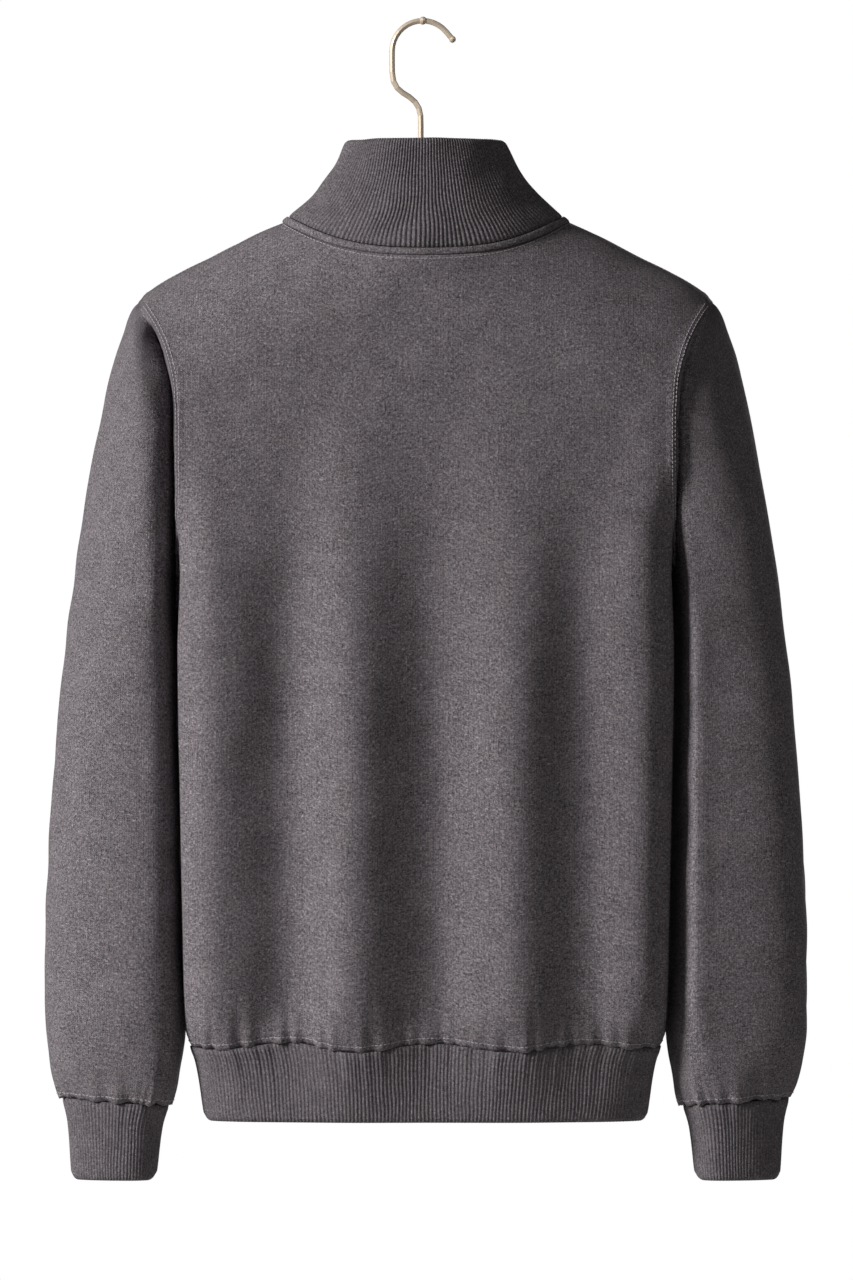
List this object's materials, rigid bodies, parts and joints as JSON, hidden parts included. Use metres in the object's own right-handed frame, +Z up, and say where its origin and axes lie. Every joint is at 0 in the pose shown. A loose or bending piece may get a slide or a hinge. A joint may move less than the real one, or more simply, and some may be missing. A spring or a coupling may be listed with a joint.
{
  "type": "knit zip jacket on hanger",
  "caption": "Knit jacket on a hanger with a tall rib collar, front zip, rib hem and rib cuffs, shown from its back and hung from the hanger's hook.",
  "frame": {"origin": "underside of the hanger hook's crown, where a rail or peg holds it", "axes": "+Z up, -Y out of the garment's back, +Y out of its front, +X to the wearer's right"},
  "size_m": [0.586, 0.1875, 0.8945],
  "materials": {
    "milled_knit": "milled heather knit, matt",
    "rib_knit": "rib knit, matt",
    "zip_tape": "woven tape",
    "brass": "satin",
    "wood": "varnished"
  },
  "bodies": {
    "jacket": {"back_panel": "milled_knit", "front_left": "milled_knit", "front_right": "milled_knit", "sleeve_left": "milled_knit", "sleeve_right": "milled_knit", "neck_welt": "milled_knit", "collar": "rib_knit", "hem_rib": "rib_knit", "cuff_left": "rib_knit", "cuff_right": "rib_knit", "zip_tape_left": "zip_tape", "zip_tape_right": "zip_tape", "zip_chain": "brass", "zip_slider": "brass", "zip_box": "brass", "hanger_hook": "brass", "hanger_body": "wood"},
    "pull": {"zip_pull": "brass"}
  },
  "joints": [
    {"name": "zip_pull_hinge", "type": "hinge", "parent": "jacket", "child": "pull", "pos_m": [0.0024, 0.06345, -0.11961], "axis": [1, 0, 0], "range_deg": [0, 150]}
  ]
}
